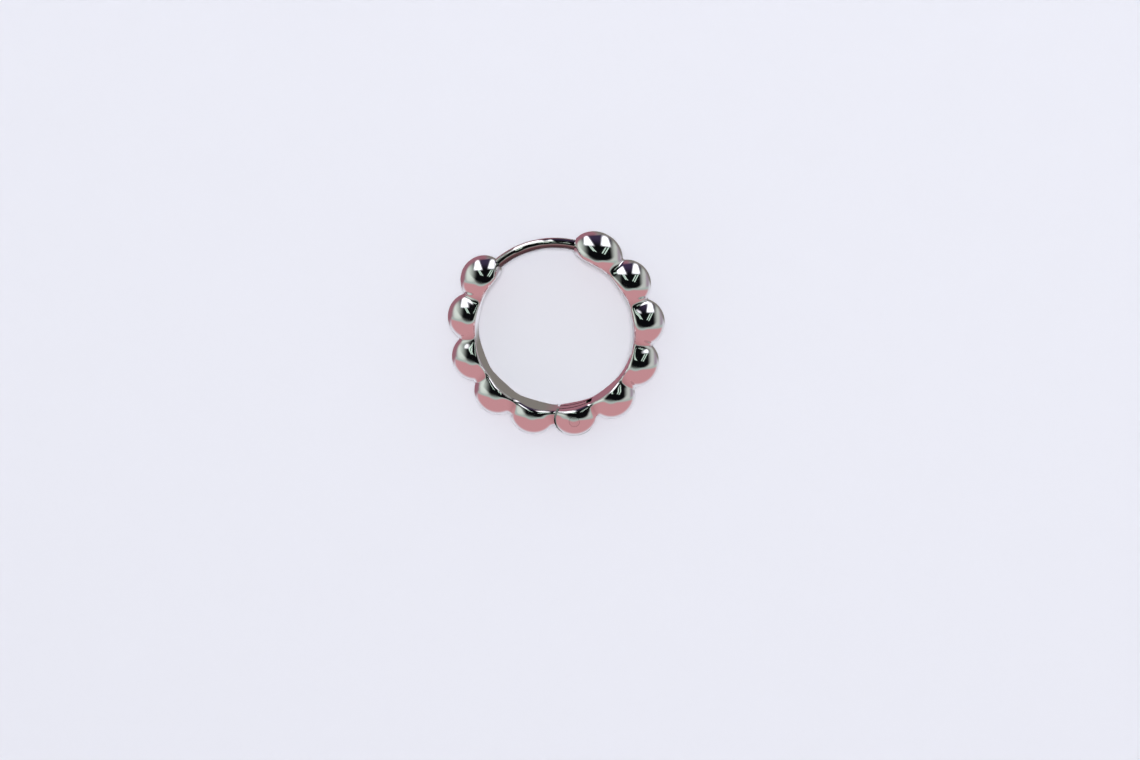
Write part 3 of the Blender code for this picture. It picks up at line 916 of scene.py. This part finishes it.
off_middle = calc.maths("SUBTRACT", ball_x, DARK_MIDDLE)
bowl = calc.maths("MULTIPLY_ADD", calc.maths("MULTIPLY", off_middle, off_middle), DARK_CURVE, ball_y)
dark = calc.maths("MULTIPLY", calc.rise(ball_x, *DARK_LEFT_STEP), calc.rise(ball_x, *DARK_RIGHT_STEP))
dark = calc.maths("MULTIPLY", dark, calc.rise(bowl, *DARK_LOW_STEP))
gap = calc.maths("MULTIPLY", calc.rise(ball_y, *GAP_STEP), dark)
room_colour = calc.blend(dark, room_colour, BLACK_ROOM)
room_colour = calc.blend(gap, room_colour, DUSK_GAP)
for tube_seen in tubes:
    room_colour = calc.blend(tube_seen, room_colour, TUBE_LIGHT)
for softbox_seen in softboxes:
    room_colour = calc.blend(softbox_seen, room_colour, SOFTBOX_LIGHT)
print("nodes up to the lights:", len(world.node_tree.nodes))

# %% [markdown]
# The pink panel and its pale edge lie over all that. The panel's edge is straight in the room, so it is
# drawn by direction and bends on the ball by itself. What lies behind the ball comes last: a pale table,
# a mauve panel to the upper left, which reaches further forward, and an olive shade to the upper right.

# %% Lay the panel and what lies behind over them
PANEL_BY_NEAR, PANEL_BY_ACROSS, PANEL_HEIGHT = 0.28, 0.07, 0.255
PANEL_EDGE_STEP, PINK_STEP = (0.14, 0.02), (0.02, -0.12)
MAUVE_STEP, OLIVE_STEP, BEHIND_STEP = (0.45, 0.85), (0.85, 1.15), (0.45, 0.85)
MAUVE_FORWARD = 0.33

panel_line = calc.maths("ADD", calc.maths("MULTIPLY_ADD", near, PANEL_BY_NEAR, PANEL_HEIGHT),
                        calc.maths("MULTIPLY_ADD", across, PANEL_BY_ACROSS, up))
room_colour = calc.blend(calc.rise(panel_line, *PANEL_EDGE_STEP), room_colour, PANEL_EDGE)
room_colour = calc.blend(calc.rise(panel_line, *PINK_STEP), room_colour, PINK_PANEL)

mauve_side = calc.rise(calc.maths("SUBTRACT", ball_y, ball_x), *MAUVE_STEP)
olive_side = calc.rise(calc.maths("ADD", ball_y, ball_x), *OLIVE_STEP)
behind_colour = calc.blend(olive_side, calc.blend(mauve_side, PALE_TABLE, MAUVE_PANEL), OLIVE_SHADE)
behind = calc.maths("MULTIPLY_ADD", mauve_side, MAUVE_FORWARD, calc.maths("MULTIPLY", near, -1.0))
room_colour = calc.blend(calc.rise(behind, *BEHIND_STEP), room_colour, behind_colour)

background = world.node_tree.nodes["Background"]
calc.feed(background.inputs["Color"], room_colour)
print("nodes in the room's shader:", len(world.node_tree.nodes))

# %% [markdown]
# ## The floor
# The hoop lies on a plain pale floor, which turns up far outside like a photographer's bowl, so that a
# low view sees the same pale ground behind the hoop. A flat sheet would end in a hard horizon there.

# %% Lay the floor
FLOOR_COLOUR, FLOOR_ROUGHNESS = (0.79, 0.80, 0.865), 0.7
# How far out and how high, in metres
FLOOR_PROFILE = ((0.0, 0.0), (0.30, 0.0), (0.40, 0.015), (0.48, 0.06),
                 (0.53, 0.13), (0.55, 0.22), (0.56, 0.32))


def paper_finish():
    material = bpy.data.materials.new("pale_floor")
    material.use_nodes = True
    shader = material.node_tree.nodes["Principled BSDF"]
    shader.inputs["Base Color"].default_value = (*FLOOR_COLOUR, 1.0)
    shader.inputs["Roughness"].default_value = FLOOR_ROUGHNESS
    return material


turns = np.linspace(0.0, 2 * math.pi, FINE_SIDES, endpoint=False)
bowl_rings = [np.stack((radius * np.cos(turns), radius * np.sin(turns), np.full(FINE_SIDES, height)), 1)
              for radius, height in FLOOR_PROFILE]
floor = mesh_from_rings("floor", np.array(bowl_rings), cap_first=False, cap_last=False)
floor.data.shade_smooth()
floor.visible_glossy = False
floor.data.materials.append(paper_finish())
print("floor reaches", FLOOR_PROFILE[-1][0], "m out")

# %% [markdown]
# ## The lamps
# The main lamp stands close to the lens. Shadows then fall behind the hoop, and the floor looks as even
# as in the photograph. A large overhead lamp and two at the sides fill in. All lamps are left out of the
# reflections, where the studio is drawn already.

# %% Hang the lamps
# Name, azimuth and elevation in degrees, distance and width in metres, and power in watts
LAMPS = (
    ("lens_lamp", 55, 78, 0.8, 0.16, 4.2),
    ("left_lamp", 112, 50, 0.9, 0.7, 0.5),
    ("right_lamp", 42, 50, 0.9, 0.7, 0.5),
    ("overhead_lamp", 90, 85, 1.0, 3.0, 7.0),
)


def direction_of(azimuth, elevation):
    azimuth, elevation = math.radians(azimuth), math.radians(elevation)
    level = math.cos(elevation)
    return Vector((level * math.cos(azimuth), level * math.sin(azimuth), math.sin(elevation)))


def hang_lamp(name, azimuth, elevation, distance, width, power):
    data = bpy.data.lights.new(name, "AREA")
    data.shape = "SQUARE"
    data.size = width
    data.energy = power
    lamp = bpy.data.objects.new(name, data)
    place = direction_of(azimuth, elevation)
    lamp.location = distance * place
    lamp.rotation_euler = place.to_track_quat("Z", "Y").to_euler()
    lamp.visible_camera = False
    lamp.visible_glossy = False
    bpy.context.scene.collection.objects.link(lamp)
    print(name, "is", distance, "m away and gives", power, "W")


for lamp_numbers in LAMPS:
    hang_lamp(*lamp_numbers)
bpy.context.scene.view_settings.view_transform = "Standard"
